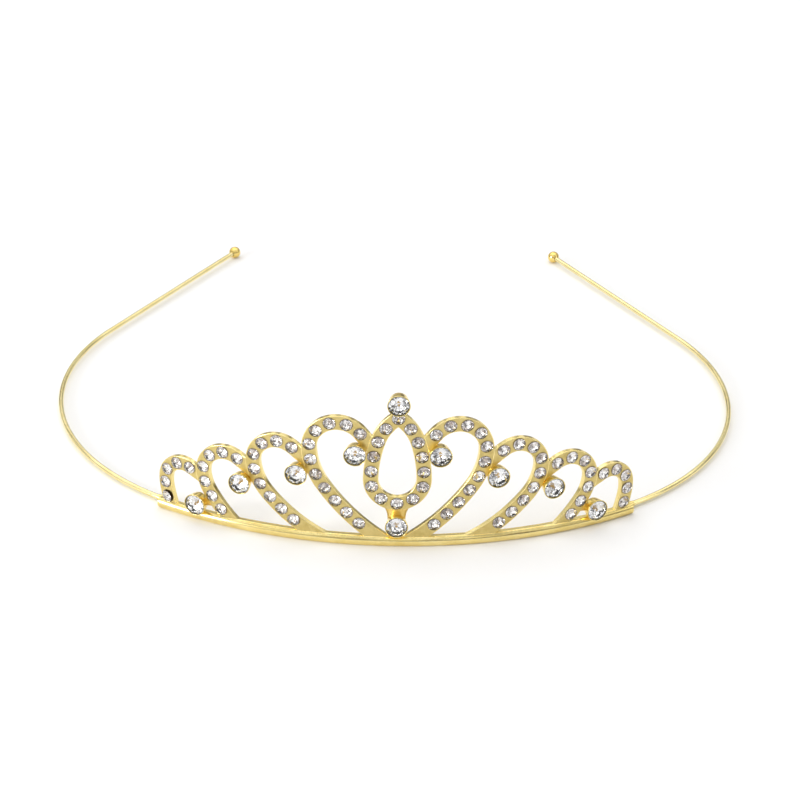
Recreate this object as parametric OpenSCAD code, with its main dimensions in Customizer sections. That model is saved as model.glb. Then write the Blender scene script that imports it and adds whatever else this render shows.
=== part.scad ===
// Mini crown headband: a pierced crown set with clear stones, on a sprung wire band with ball tips.
// Millimetres, +Z up. It rests on the crown's rail and the two ball tips, with the crown's face to -Y.
// The origin is the middle of its box on the surface that it rests on.
// Crown patterns are drawn flat, as [distance along the bend, height], and wrapped onto the bend.

/* [Crown] */
// Height of the crown's pattern, from the rail's foot to the tip of the middle loop
crown_h = 33.8; // [30:0.2:40]
// Radius that the face of the crown plate is bent to
plate_r = 95; // [80:1:120]
// Thickness of the crown plate
plate_t = 1.2; // [1:0.1:1.6]
// Width of the ribbons that the pattern is drawn with
ribbon_w = 3.4; // [3.3:0.1:3.8]

/* [Rail] */
// Height of the rail that the ribbons stand on
rail_h = 2.4; // [2:0.1:3]
// How far the rail's round front stands proud of the plate
rail_proud = 0.6; // [0.4:0.1:1]
// How far the rail's back lies behind the plate's back
rail_step = 0.2; // [0.1:0.05:0.4]
// How far the rail runs on past the last ribbon
rail_past = 0.2; // [0.1:0.1:2]

/* [Small stones] */
// Diameter of a small stone
small_d = 2.8; // [2.4:0.1:2.9]
// Metal left between two neighbouring small stones, before they are spread out evenly
small_gap = 0.95; // [0.7:0.05:1.5]
// How far a small stone's widest line lies under the plate's face
small_sink = 0.15; // [0:0.05:0.2]

/* [Large stones] */
// Diameter of a large stone
large_d = 4.6; // [4:0.1:5]
// How far a cup's mouth stands proud of the plate
cup_proud = 1.5; // [1.2:0.1:2.4]
// Thickness of a cup's wall at its mouth
cup_wall = 0.2; // [0.15:0.05:0.4]
// How much narrower a cup's back is than its mouth, on the radius
cup_taper = 0.5; // [0.3:0.05:0.7]
// How far the middle loop's top cup bites into its tip
solder_lap = 0.6; // [0.3:0.1:0.8]
// Width of the solder tab behind a cup
tab_w = 2; // [1.4:0.1:2.6]
// Width of the solder foot under the lowest cup
foot_w = 4; // [3:0.1:4.4]

/* [Stone fit] */
// Gap round a stone in its seat
seat_clear = 0.06; // [0.05:0.01:0.1]

/* [Headband] */
// Diameter of the band's wire
wire_d = 1.2; // [0.9:0.05:1.4]
// Radius of the bend at each side of the head
side_r = 62; // [54:1:68]
// Direction of the wire's ends, measured from the crown's line
tip_turn = 122; // [116:1:130]
// Length of the straight stretch up to each ball
tip_run = 54; // [40:1:60]
// How much thinner the straight stretch is than the wire
tip_thin = 0.06; // [0.04:0.01:0.1]
// Length of the solder collar at each end of the rail
collar_l = 5; // [3:0.5:7]
// Thickness of the solder on the wire in the collar
collar_t = 0.2; // [0.15:0.05:0.3]
// Gap between the collar and the rail's back
band_gap = 0.05; // [0.05:0.01:0.15]

/* [Ball tips] */
// Diameter of a ball tip
ball_d = 2.9; // [2.4:0.1:3.6]
// Depth of the ball's bore
bore_l = 1.6; // [1.2:0.1:1.8]
// Gap round and beyond the wire's end in that bore
bore_clear = 0.05; // [0.03:0.01:0.1]

/* [Hidden] */
$fn = 64;
// Sides drawn in a full circle of the large bends
bend_fn = 240;

gold = "gold";
glass = "lightcyan";

// The middle loop's right half runs from its lowest point up to its tip, turning left.
// Columns: radius as a share of crown_h and angle of the first two bends. The last bend's radius closes the loop.
pear_bends = [[0.1735, 91], [0.962, 16.5]];
pear_close = 39.3;

// The four loops on each side, each from its first stone over the top and down to the rail, turning right.
// Columns: distance of the start, its height, its direction in degrees, and three bends as [radius, angle].
// The lengths are shares of crown_h.
loops = [
  [0.2447, 0.8174, 50.5, [[0.1885, 142.6], [0.48, 33.4], [1.535, 13.6]]],
  [0.6926, 0.6726, 37.5, [[0.1644, 133.1], [0.367, 35.8], [1.215, 12.3]]],
  [1.0685, 0.5229, 31.9, [[0.1629, 127.1], [0.296, 29], [1.085, 7.3]]],
  [1.418, 0.371, 24.5, [[0.1362, 111], [0.318, 14.9], [0.81, 4.5]]]
];

// Each side cup sits beside the strand before its loop. Columns: its place as a share of that strand's length,
// and the space between its wall and the ribbon's edge as a share of large_d, less than 0 where it bites in.
cups = [[0.571, 0.008], [0.56, -0.04], [0.573, 0.014], [0.833, 0.105]];
// Height of the lowest cup, as a share of crown_h
base_cup_z = 0.163;
// Largest turn of a ribbon's edge between two of its points
edge_step = 9;
// How far a loop's ribbon runs back into the ribbon before it, as a share of crown_h
root_l = 0.085;
// How far a ribbon runs on past its last stone, before the rail's middle cuts it off, as a share of crown_h
stem_l = 0.26;

// A cut stone's proportions, as shares of its diameter
table_share = 0.55;
crown_share = 0.17;
pavilion_share = 0.2;
large_pavilion_share = 0.3;

pitch = small_d + small_gap;
seat_r = small_d / 2 + seat_clear;
seat_l = small_sink + small_d * pavilion_share + seat_clear;
cup_r = large_d / 2 + seat_clear + cup_wall;
cup_back_l = plate_t + rail_step / 2;
cup_l = cup_back_l + cup_proud;
cup_face_r = cup_r - cup_taper * cup_proud / cup_l;
large_sink = cup_wall / 2;
bore_depth = large_sink + large_d * large_pavilion_share + seat_clear;
cut_over = 3;

// A state on a path is [distance, height, direction]. It goes along an arc of radius r through angle a.
function turned(st, r, a, hand) =
  let (h = st[2] + hand * a)
  [st[0] + hand * r * (sin(h) - sin(st[2])), st[1] - hand * r * (cos(h) - cos(st[2])), h];
function arc_l(bend) = bend[0] * bend[1] * PI / 180;
function path_l(bends, i = 0) = i == len(bends) ? 0 : arc_l(bends[i]) + path_l(bends, i + 1);
// The state at length t along a chain of bends, which runs on past both of its ends
function along(st, bends, hand, t, i = 0) =
  i == len(bends) - 1 || t <= arc_l(bends[i])
    ? turned(st, bends[i][0], t / bends[i][0] * 180 / PI, hand)
    : along(turned(st, bends[i][0], bends[i][1], hand), bends, hand, t - arc_l(bends[i]), i + 1);
// Lengths along a chain at which its ribbon's edges get a point
function stations(bends, i = 0, t = 0) =
  i == len(bends) ? [] :
  let (n = ceil(bends[i][1] / edge_step))
  concat([for (k = [1:n]) t + arc_l(bends[i]) * k / n], stations(bends, i + 1, t + arc_l(bends[i])));
// A point beside the path, off to its left by d
function beside(st, d) = [st[0] - d * sin(st[2]), st[1] + d * cos(st[2])];
function scaled(bends) = [for (b = bends) [b[0] * crown_h, b[1]]];

pear_open = scaled(pear_bends);
pear_mid = turned(turned([0, 0, 0], pear_open[0][0], pear_open[0][1], 1), pear_open[1][0], pear_open[1][1], 1);
pear_last_r = pear_mid[0] / (sin(pear_mid[2]) - sin(pear_mid[2] + pear_close));
pear_chain = concat(pear_open, [[pear_last_r, pear_close]]);
pear_half_l = path_l(pear_chain);
pear_stations = concat([0], stations(pear_chain));
// Where the line through two points near the crown's middle meets that middle
function on_axis(a, b) = [0, b[1] + (b[1] - a[1]) * b[0] / (a[0] - b[0])];
// The loop's outer edge is followed from height 0 first, to find how far its tip stands over its start.
function pear_edge(z, i) = beside(along([0, z, 0], pear_chain, 1, pear_stations[i]), -ribbon_w / 2);
pear_last = len(pear_stations) - 1;
pear_rise = on_axis(pear_edge(0, pear_last - 1), pear_edge(0, pear_last))[1];
pear_start = [0, crown_h - pear_rise, 0];

function loop_start(k) = [loops[k][0] * crown_h, loops[k][1] * crown_h, loops[k][2]];
function loop_chain(k) = scaled(loops[k][3]);
function loop_at(k, t) = along(loop_start(k), loop_chain(k), -1, t);
function pear_at(t) = along(pear_start, pear_chain, 1, t);

// Small stones: places on a loop, from its first stone to its last, and round the middle loop
function loop_count(k) = round(path_l(loop_chain(k)) / pitch) + 1;
function loop_stones(k) =
  let (n = loop_count(k), l = path_l(loop_chain(k)))
  [for (i = [0:n - 1]) loop_at(k, l * i / (n - 1))];
pear_half_n = round(pear_half_l / pitch);
pear_right = [for (i = [0:pear_half_n]) pear_at(pear_half_l * i / pear_half_n)];
pear_stones = concat(pear_right, [for (i = [1:pear_half_n - 1]) [-pear_right[i][0], pear_right[i][1]]]);

// Outlines. The middle loop's edges are closed on its centre line, where its sides meet in a point.
pear_outer = [for (i = [0:pear_last]) pear_edge(pear_start[1], i)];
pear_inner = [for (t = pear_stations) beside(pear_at(t), ribbon_w / 2)];
pear_inner_in = [for (p = pear_inner) if (p[0] > 0.1) p];
function closed(edge) =
  let (n = len(edge), tip = on_axis(edge[n - 2], edge[n - 1]))
  concat(edge, [tip], [for (i = [n - 1:-1:0]) if (edge[i][0] > 0.1) [-edge[i][0], edge[i][1]]]);
pear_outer_edge = closed(pear_outer);
pear_inner_edge = closed(concat([pear_inner[0]], pear_inner_in));

function loop_stations(k) =
  let (l = path_l(loop_chain(k)))
  concat([-root_l * crown_h, -root_l * crown_h / 2, 0], stations(loop_chain(k)), [l + stem_l * crown_h]);
function loop_edge(k, d) = [for (t = loop_stations(k)) beside(loop_at(k, t), d)];
function loop_outline(k) =
  let (far = loop_edge(k, ribbon_w / 2), near = loop_edge(k, -ribbon_w / 2), n = len(near))
  concat(far, [for (i = [n - 1:-1:0]) near[i]]);

// The rail reaches just past the last loop's ribbon.
crown_reach = max([for (p = loop_edge(3, ribbon_w / 2)) p[0]]) + rail_past;
rail_half = crown_reach / plate_r * 180 / PI;
rail_back_r = plate_r - plate_t - rail_step;

// Cups: [distance, height, then the place on the ribbon or rail that its tab runs to]
function cup_beside(st, d) = let (p = beside(st, d)) [p[0], p[1], st[0], st[1]];
function cup_off(k) = ribbon_w / 2 + cup_face_r + cups[k][1] * large_d;
function side_cup(k) =
  k == 0 ? cup_beside(pear_at(pear_half_l * cups[0][0]), -cup_off(0))
         : cup_beside(loop_at(k - 1, path_l(loop_chain(k - 1)) * cups[k][0]), cup_off(k));
side_cups = [for (k = [0:3]) side_cup(k)];
top_cup_z = crown_h + cup_face_r - solder_lap;
base_z = base_cup_z * crown_h;

// Headband: the wire lies behind the rail, bends round the sides and runs straight to the balls.
collar_r = wire_d / 2 + collar_t;
front_r = sqrt(pow(rail_back_r - band_gap, 2) - pow(collar_l / 2, 2)) - collar_r;
band_start = [0, plate_r - front_r, 0];
band_turn = turned(band_start, front_r, rail_half, 1);
band_end = turned(band_turn, side_r, tip_turn - rail_half, 1);
tip_x = band_end[0] + tip_run * cos(tip_turn);
tip_y = band_end[1] + tip_run * sin(tip_turn);
tip_r = wire_d / 2 - tip_thin / 2;
front_z = collar_r + band_gap;
band_slope = asin((ball_d / 2 - front_z) / (tip_y - band_start[1]));
join = 0.15;

// The box's front is a large stone's table, and its back is a ball.
box_front = -(cup_proud - large_sink + large_d * crown_share);
box_back = band_start[1] + (tip_y - band_start[1]) * cos(band_slope) + ball_d / 2;
mid_y = (box_front + box_back) / 2;

// The crown's drawing plane is carried to a place on the bend, with +Z pointing out of the plate's face.
module on_bend(s, z) {
  translate([0, plate_r - mid_y, z])
    rotate([0, 0, s / plate_r * 180 / PI])
      translate([0, -plate_r, 0])
        rotate([90, 0, 0])
          children();
}

// Points on the bend, seen square on from the place s0
function seen_from(points, s0) = [for (p = points) [plate_r * sin((p[0] - s0) / plate_r * 180 / PI), p[1]]];

module cutter(s0) {
  on_bend(s0, 0)
    translate([0, 0, -plate_t - cut_over])
      linear_extrude(height = plate_t + 2 * cut_over)
        children();
}

module ribbon(k) {
  s0 = (loop_start(k)[0] + loop_at(k, path_l(loop_chain(k)) * 0.4)[0]) / 2;
  cutter(s0) polygon(seen_from(loop_outline(k), s0));
}

module middle_ribbon() {
  cutter(0)
    difference() {
      polygon(seen_from(pear_outer_edge, 0));
      polygon(seen_from(pear_inner_edge, 0));
    }
}

module both_sides() {
  children();
  mirror([1, 0, 0]) children();
}

// The bent sheet that the ribbons are pierced from, from the rail's middle up
module sheet() {
  translate([0, plate_r - mid_y, 0])
    rotate([0, 0, -90 - rail_half])
      rotate_extrude(angle = 2 * rail_half, $fn = bend_fn)
        translate([plate_r - plate_t, rail_h / 2])
          square([plate_t, crown_h + cut_over]);
}

module rail() {
  round_r = rail_h / 2 * 1.15;
  front = plate_r + rail_proud;
  translate([0, plate_r - mid_y, 0])
    rotate([0, 0, -90 - rail_half])
      rotate_extrude(angle = 2 * rail_half, $fn = bend_fn)
        intersection() {
          translate([rail_back_r, 0])
            square([front - rail_back_r, rail_h]);
          union() {
            translate([rail_back_r - round_r, 0])
              square([front - rail_back_r, rail_h]);
            translate([front - round_r, rail_h / 2])
              circle(r = round_r, $fn = 64);
          }
        }
}

module cup(s, z) {
  on_bend(s, z)
    translate([0, 0, -cup_back_l])
      cylinder(r1 = cup_r - cup_taper, r2 = cup_r, h = cup_l);
}

// A cup's bore follows its wall, and runs on a little way past its mouth.
module cup_bore(s, z) {
  slope = cup_taper / cup_l;
  over = cup_wall;
  on_bend(s, z)
    translate([0, 0, cup_proud - bore_depth])
      cylinder(
        r1 = cup_r - cup_wall - slope * bore_depth,
        r2 = cup_r - cup_wall + slope * over,
        h = bore_depth + over
      );
}

// A flat solder tab in the plate's back half, from one place on the bend to another close by
module tab(s, z, to_s, to_z, w) {
  l = norm([to_s - s, to_z - z]);
  on_bend(s, z)
    rotate([0, 0, atan2(to_z - z, to_s - s)])
      translate([0, -w / 2, -cup_back_l + rail_step / 4])
        cube([l, w, plate_t * 0.7]);
}

module seats(places) {
  for (p = places)
    on_bend(p[0], p[1])
      translate([0, 0, -seat_l])
        cylinder(r = seat_r, h = seat_l + cut_over);
}

module crown_frame() {
  color(gold)
    difference() {
      union() {
        intersection() {
          sheet();
          union() {
            middle_ribbon();
            both_sides()
              for (k = [0:3]) ribbon(k);
          }
        }
        rail();
        cup(0, top_cup_z);
        cup(0, base_z);
        tab(0, rail_h / 2, 0, pear_start[1], foot_w);
        tab(0, top_cup_z, 0, pear_right[pear_half_n][1], tab_w);
        both_sides()
          for (c = side_cups) {
            cup(c[0], c[1]);
            tab(c[0], c[1], c[2], c[3], tab_w);
          }
      }
      seats(pear_stones);
      both_sides()
        for (k = [0:3]) seats(loop_stones(k));
      cup_bore(0, top_cup_z);
      cup_bore(0, base_z);
      both_sides()
        for (c = side_cups) cup_bore(c[0], c[1]);
    }
}

// A round brilliant cut without its smallest facets: an eight-sided table, sixteen sides at its widest
// line, and a point below. Its widest line lies in the drawing plane.
module cut_stone(d, below) {
  table = [for (i = [0:7]) [table_share * d / 2 * cos(45 * i), table_share * d / 2 * sin(45 * i), crown_share * d]];
  wide = [for (j = [0:15]) [d / 2 * cos(22.5 * j), d / 2 * sin(22.5 * j), 0]];
  points = concat(table, wide, [[0, 0, -below]]);
  polyhedron(
    points = points,
    faces = concat(
      [[7, 6, 5, 4, 3, 2, 1, 0]],
      [for (i = [0:7]) [i, (i + 1) % 8, 8 + (2 * i + 1) % 16]],
      [for (i = [0:7]) [i, 8 + (2 * i + 1) % 16, 8 + 2 * i]],
      [for (i = [0:7]) [i, 8 + 2 * i, 8 + (2 * i + 15) % 16]],
      [for (j = [0:15]) [8 + j, 8 + (j + 1) % 16, 24]]
    )
  );
}

module small_stones(places) {
  color(glass)
    for (p = places)
      on_bend(p[0], p[1])
        translate([0, 0, -small_sink])
          cut_stone(small_d, pavilion_share * small_d);
}

module large_stone(s, z) {
  color(glass)
    on_bend(s, z)
      translate([0, 0, cup_proud - large_sink])
        cut_stone(large_d, large_pavilion_share * large_d);
}

// The band's plane, which rises a little from the rail to the balls, with the crown's middle at its front
module on_band() {
  translate([0, band_start[1] - mid_y, front_z])
    rotate([band_slope, 0, 0])
      translate([0, -band_start[1], 0])
        children();
}

module band_bend(centre, r, from, sweep) {
  translate([centre[0], centre[1], 0])
    rotate([0, 0, from])
      rotate_extrude(angle = sweep, $fn = bend_fn)
        translate([r, 0])
          circle(d = wire_d, $fn = 64);
}

module headband_wire() {
  side_turn = tip_turn - rail_half;
  front_short = join / front_r * 180 / PI;
  side_short = join / side_r * 180 / PI;
  side_centre = beside(band_turn, side_r);
  color(gold)
    on_band()
      union() {
        band_bend([0, plate_r], front_r, -90 - rail_half + front_short, 2 * (rail_half - front_short));
        both_sides() {
          band_bend(side_centre, side_r, rail_half - 90 + side_short, side_turn - side_short);
          translate([band_turn[0], band_turn[1], 0])
            rotate([0, 90, rail_half])
              cylinder(r = collar_r, h = collar_l, center = true);
          translate([band_end[0], band_end[1], 0])
            rotate([0, 90, tip_turn])
              translate([0, 0, -2 * tip_r])
                cylinder(r = tip_r, h = tip_run + 2 * tip_r + bore_l / 2 - ball_d / 4);
        }
      }
}

module tip_ball() {
  color(gold)
    on_band()
      translate([tip_x, tip_y, 0])
        rotate([0, 90, tip_turn])
          difference() {
            sphere(d = ball_d);
            translate([0, 0, -ball_d])
              cylinder(r = tip_r + bore_clear, h = ball_d + bore_l / 2 - ball_d / 4 + bore_clear);
          }
}

crown_frame();
headband_wire();
mirror([1, 0, 0]) tip_ball();  // tip_ball_left
tip_ball();  // tip_ball_right
small_stones(pear_stones);  // pave_pear
large_stone(0, top_cup_z);  // stone_top
large_stone(0, base_z);  // stone_base
for (k = [1:4]) {
  mirror([1, 0, 0]) small_stones(loop_stones(k - 1));
  small_stones(loop_stones(k - 1));
  mirror([1, 0, 0]) large_stone(side_cups[k - 1][0], side_cups[k - 1][1]);
  large_stone(side_cups[k - 1][0], side_cups[k - 1][1]);
}
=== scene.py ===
# %% [markdown]
# This notebook dresses a small crown on a wire headband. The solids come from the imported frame, in metres,
# with +Z up, the crown's face to -Y and the whole thing resting on a table at height 0. The band is a
# horseshoe of round wire with a ball on each end, and the crown is a bent, pierced plate set with clear
# stones. Everything is measured from the frame, so a piece goes where its solid is.

# %% Load the frame
import math
import random

import bmesh
import bpy
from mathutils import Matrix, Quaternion, Vector
from mathutils.geometry import delaunay_2d_cdt


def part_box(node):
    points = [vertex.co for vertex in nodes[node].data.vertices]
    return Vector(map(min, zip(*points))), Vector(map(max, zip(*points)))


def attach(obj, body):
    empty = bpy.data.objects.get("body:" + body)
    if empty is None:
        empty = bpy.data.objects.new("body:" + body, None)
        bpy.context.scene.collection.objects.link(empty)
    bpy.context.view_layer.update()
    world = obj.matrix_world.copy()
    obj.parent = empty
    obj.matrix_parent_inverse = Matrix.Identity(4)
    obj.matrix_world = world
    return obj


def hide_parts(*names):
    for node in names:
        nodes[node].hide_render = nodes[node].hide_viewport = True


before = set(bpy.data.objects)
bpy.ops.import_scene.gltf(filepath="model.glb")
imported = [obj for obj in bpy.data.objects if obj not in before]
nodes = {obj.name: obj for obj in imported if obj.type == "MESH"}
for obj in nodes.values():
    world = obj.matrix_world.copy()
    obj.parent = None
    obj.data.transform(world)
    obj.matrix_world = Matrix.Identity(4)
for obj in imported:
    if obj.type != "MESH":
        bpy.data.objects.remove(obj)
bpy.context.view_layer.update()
mm = 0.001

# %% [markdown]
# The camera comes first, because everything after it is judged through it. The photograph was taken with a
# long lens from straight in front of the crown, 27 degrees off the plane of the band. The object now lies on
# a table, so the camera keeps the lens, the distance and the 27 degrees, and looks from above that plane. A
# camera looks along its own -Z, and a tracking rotation turns that way to the target.

# %% Camera
view_turn = -0.8
view_rise = 27.5
view_roll = 1.2
view_distance = 0.797
view_lens = 155
aim = Vector((0.0009, -0.0245, 0.0107))


def to_scene(name, data):
    """A new object in the scene, which holds a mesh, a light or a camera."""
    result = bpy.data.objects.new(name, data)
    bpy.context.collection.objects.link(result)
    return result


def look_along(thing, way, roll=0):
    """Turns a camera or a light to look along a direction, rolled by some degrees."""
    thing.rotation_mode = "QUATERNION"
    thing.rotation_quaternion = way.to_track_quat("-Z", "Y") @ Quaternion((0, 0, 1), math.radians(roll))


camera_data = bpy.data.cameras.new("camera")
camera_data.lens = view_lens
camera_data.clip_start = 0.05
camera = to_scene("camera", camera_data)
aside, rise = math.radians(view_turn), math.radians(view_rise)
back = Vector((math.sin(aside) * math.cos(rise), -math.cos(aside) * math.cos(rise), math.sin(rise)))
camera.location = aim + back * view_distance
look_along(camera, -back, view_roll)
bpy.context.scene.camera = camera
print("camera at", [round(v, 3) for v in camera.location])

# %% [markdown]
# All the metal has one thin plating of pale gold. What makes its parts look different is how smooth they are:
# the plate's face is satin, and its cut edges, the rail and the wire are polished. The seats and the cups'
# bores have a darker gold, which is partly glue and partly painted shade. Each could have a material drawn
# from nothing, but the cloudy grain of a plated surface is the same everywhere. So the grain is one node
# group, and every gold places it with its own two tones, its own smoothness and its own size of grain.

# %% Helpers for shader nodes
def set_inputs(node, **values):
    """Sets a node's inputs by name, with underscores for spaces."""
    for name, value in values.items():
        node.inputs[name.replace("_", " ")].default_value = value
    return node


def add_node(tree, kind, **values):
    """A new shader node with some of its inputs set."""
    return set_inputs(tree.nodes.new(kind), **values)


def add_mix(tree, factor, first, second, colors=True):
    """A Mix node between two colours or two numbers, each a socket or a colour. Gives the result's socket."""
    node = tree.nodes.new("ShaderNodeMix")
    if colors:
        node.data_type = "RGBA"
    # The node has a pair of ends and a result for every type, so these go by their place in the list.
    first_at, second_at, result_at = (6, 7, 2) if colors else (2, 3, 0)
    tree.links.new(factor, node.inputs["Factor"])
    for value, socket in ((first, node.inputs[first_at]), (second, node.inputs[second_at])):
        if isinstance(value, tuple):
            socket.default_value = value
        else:
            tree.links.new(value, socket)
    return node.outputs[result_at]


def new_group(name, inputs, outputs):
    """An empty node group. Inputs are (name, type, value) and outputs are (name, type)."""
    group = bpy.data.node_groups.new(name, "ShaderNodeTree")
    for label, kind, value in inputs:
        group.interface.new_socket(label, in_out="INPUT", socket_type=kind).default_value = value
    for label, kind in outputs:
        group.interface.new_socket(label, in_out="OUTPUT", socket_type=kind)
    return group, group.nodes.new("NodeGroupInput"), group.nodes.new("NodeGroupOutput")


def place_group(tree, group, **values):
    """A node group placed in a material's tree with its own values."""
    node = tree.nodes.new("ShaderNodeGroup")
    node.node_tree = group
    return set_inputs(node, **values)


def new_material(name, **values):
    """A new material, its node tree, and its Principled shader with some of its inputs set."""
    material = bpy.data.materials.new(name)
    material.use_nodes = True
    tree = material.node_tree
    return material, tree, set_inputs(tree.nodes["Principled BSDF"], **values)


# %% Plating grain group
fine_share = 0.35
light_until, deep_from = 0.45, 0.9
grain_group, grain_in, grain_out = new_group(
    "plating_grain",
    [
        ("Cloud Size", "NodeSocketFloat", 900.0),
        ("Grain Size", "NodeSocketFloat", 6000.0),
        ("Light", "NodeSocketColor", (0.9, 0.76, 0.4, 1)),
        ("Deep", "NodeSocketColor", (0.8, 0.62, 0.25, 1)),
        ("Smooth", "NodeSocketFloat", 0.2),
        ("Rough", "NodeSocketFloat", 0.35),
    ],
    [("Color", "NodeSocketColor"), ("Roughness", "NodeSocketFloat"), ("Height", "NodeSocketFloat")],
)
grain_place = grain_group.nodes.new("ShaderNodeTexCoord")
cloud = add_node(grain_group, "ShaderNodeTexNoise", Detail=4.0, Roughness=0.6)
fine = add_node(grain_group, "ShaderNodeTexNoise", Detail=2.0, Roughness=0.5)
for noise, size in ((cloud, "Cloud Size"), (fine, "Grain Size")):
    grain_group.links.new(grain_place.outputs["Object"], noise.inputs["Vector"])
    grain_group.links.new(grain_in.outputs[size], noise.inputs["Scale"])
both = grain_group.nodes.new("ShaderNodeMath")
both.operation = "MULTIPLY_ADD"
both.inputs[1].default_value = fine_share
grain_group.links.new(fine.outputs["Fac"], both.inputs[0])
grain_group.links.new(cloud.outputs["Fac"], both.inputs[2])
spread = add_node(grain_group, "ShaderNodeMapRange", From_Min=light_until, From_Max=deep_from)
grain_group.links.new(both.outputs[0], spread.inputs["Value"])
share = spread.outputs["Result"]
tone = add_mix(grain_group, share, grain_in.outputs["Light"], grain_in.outputs["Deep"])
rough = add_mix(grain_group, share, grain_in.outputs["Smooth"], grain_in.outputs["Rough"], colors=False)
for result, label in ((tone, "Color"), (rough, "Roughness"), (both.outputs[0], "Height")):
    grain_group.links.new(result, grain_out.inputs[label])
print("group", grain_group.name, "with", len(grain_group.nodes), "nodes")

# %% Gold materials
relief_depth = 0.03 * mm


def gold(name, light, deep, smooth, roughest, clouds_a_metre, grains_a_metre, relief):
    """A plated gold whose tone, smoothness and surface come from the grain group."""
    material, tree, shader = new_material(name, Metallic=1.0)
    grain = place_group(
        tree, grain_group,
        Cloud_Size=clouds_a_metre, Grain_Size=grains_a_metre,
        Light=(*light, 1), Deep=(*deep, 1), Smooth=smooth, Rough=roughest,
    )
    bump = add_node(tree, "ShaderNodeBump", Strength=relief, Distance=relief_depth)
    tree.links.new(grain.outputs["Color"], shader.inputs["Base Color"])
    tree.links.new(grain.outputs["Roughness"], shader.inputs["Roughness"])
    tree.links.new(grain.outputs["Height"], bump.inputs["Height"])
    tree.links.new(bump.outputs["Normal"], shader.inputs["Normal"])
    return material


# After the name: light and deep tone, smoothest and roughest, clouds and grains to the metre, and relief.
face_gold = gold("satin_face_gold", (0.72, 0.58, 0.245), (0.57, 0.44, 0.15), 0.30, 0.44, 700, 5200, 0.5)
edge_gold = gold("polished_edge_gold", (0.99, 0.84, 0.40), (0.92, 0.75, 0.30), 0.14, 0.26, 500, 4000, 0.1)
rail_gold = gold("polished_rail_gold", (0.99, 0.84, 0.40), (0.82, 0.64, 0.22), 0.12, 0.26, 180, 3600, 0.15)
wire_gold = gold("polished_wire_gold", (0.99, 0.87, 0.46), (0.93, 0.78, 0.35), 0.12, 0.22, 260, 3000, 0.1)
cup_gold = gold("cup_gold", (0.98, 0.77, 0.27), (0.90, 0.65, 0.17), 0.14, 0.28, 900, 5000, 0.15)
ball_gold = gold("polished_ball_gold", (0.96, 0.76, 0.28), (0.84, 0.60, 0.16), 0.08, 0.16, 420, 2600, 0.1)
solder_gold = gold("solder_gold", (0.93, 0.71, 0.27), (0.77, 0.55, 0.17), 0.22, 0.40, 1100, 4200, 0.4)
# Seats and bores: a darker gold that is partly glue and partly painted shade in the hollows.
seat_glue_and_shade_gold = gold("seat_glue_and_shade_gold", (0.66, 0.46, 0.20), (0.46, 0.30, 0.12), 0.4, 0.6, 900, 5000, 0.15)
print("golds", [material.name for material in bpy.data.materials if material.name.endswith("_gold")])

# %% [markdown]
# Every stone stands square on the bent plate. Its place could be worked out again from the pattern, but the
# frame's own stones already say it: each loose piece of a stone node gives a centre, and its direction away
# from the axis of the bend is the way it faces. The pieces are gone through in the order of their points, so
# that a stone has the same number on every run.

# %% Places of the stones
face_r = 95 * mm
cup_proud = 1.5 * mm
weld = 0.001 * mm
rim_share = 0.97
bend_axis_y = min(v.co.y for v in nodes["crown_frame"].data.vertices) + face_r + cup_proud


def facing(point):
    """The direction out of the plate's face at a point."""
    return Vector((point.x, point.y - bend_axis_y, 0)).normalized()


def loose_pieces(shape):
    """The places of the points of each loose piece of an edited mesh."""
    seen = set()
    pieces = []
    for start in shape.verts:
        if start in seen:
            continue
        seen.add(start)
        piece = [start]
        for vertex in piece:
            for line in vertex.link_edges:
                other = line.other_vert(vertex)
                if other not in seen:
                    seen.add(other)
                    piece.append(other)
        pieces.append([vertex.co.copy() for vertex in piece])
    return pieces


def stone_places(node):
    """Middle of the widest line, facing direction and diameter of each stone in a node."""
    shape = bmesh.new()
    shape.from_mesh(nodes[node].data)
    bmesh.ops.remove_doubles(shape, verts=shape.verts, dist=weld)
    found = []
    for points in loose_pieces(shape):
        middle = sum(points, Vector()) / len(points)
        out = facing(middle)
        reaches = [((point - middle) - out * (point - middle).dot(out)).length for point in points]
        widest = max(reaches)
        rim = [point for point, reach in zip(points, reaches) if reach > rim_share * widest]
        found.append((sum(rim, Vector()) / len(rim), out, 2 * widest))
    shape.free()
    return found


stone_nodes = [name for name in nodes if name.startswith(("pave_", "stone_"))]
places = {name: stone_places(name) for name in stone_nodes}
small = [place for name in stone_nodes if name.startswith("pave_") for place in places[name]]
large = [place for name in stone_nodes if name.startswith("stone_") for place in places[name]]
for label, some in (("small", small), ("large", large)):
    print(label, "stones", len(some), "of", round(some[0][2] / mm, 2), "mm")

# %% [markdown]
# The crown is drawn flat, as its maker would draw it before bending. It could be traced point by point, but
# every ribbon follows a chain of arcs and has the same width all along, so a few radii and angles say it all.
# Each loop starts square against the strand before it. The arcs are the ones that the solids were drawn with,
# and the stones' places say where the pattern lies. Distances run along the bend and heights go up from the
# table, in millimetres.

# %% Arcs of the flat pattern
crown_h = 33.8
ribbon_w = 3.4
root_share = 0.26
# An arc is its radius, as a share of the crown's height, and its angle. The middle loop goes from its foot up
# its right side, and its last arc has to close it at the top. A falling loop also has a start: its distance
# and height, again as shares, and the direction that it sets out in.
pear_arcs = [(0.1735, 91), (0.962, 16.5)]
pear_close = 39.3
loop_arcs = [
    (0.2447, 0.8174, 50.5, [(0.1885, 142.6), (0.48, 33.4), (1.535, 13.6)]),
    (0.6926, 0.6726, 37.5, [(0.1644, 133.1), (0.367, 35.8), (1.215, 12.3)]),
    (1.0685, 0.5229, 31.9, [(0.1629, 127.1), (0.296, 29), (1.085, 7.3)]),
    (1.418, 0.371, 24.5, [(0.1362, 111), (0.318, 14.9), (0.81, 4.5)]),
]
print("arcs in the falling loops", [len(arcs) for _, _, _, arcs in loop_arcs])


# %% A walk along arcs
trace_step = 0.25


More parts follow.
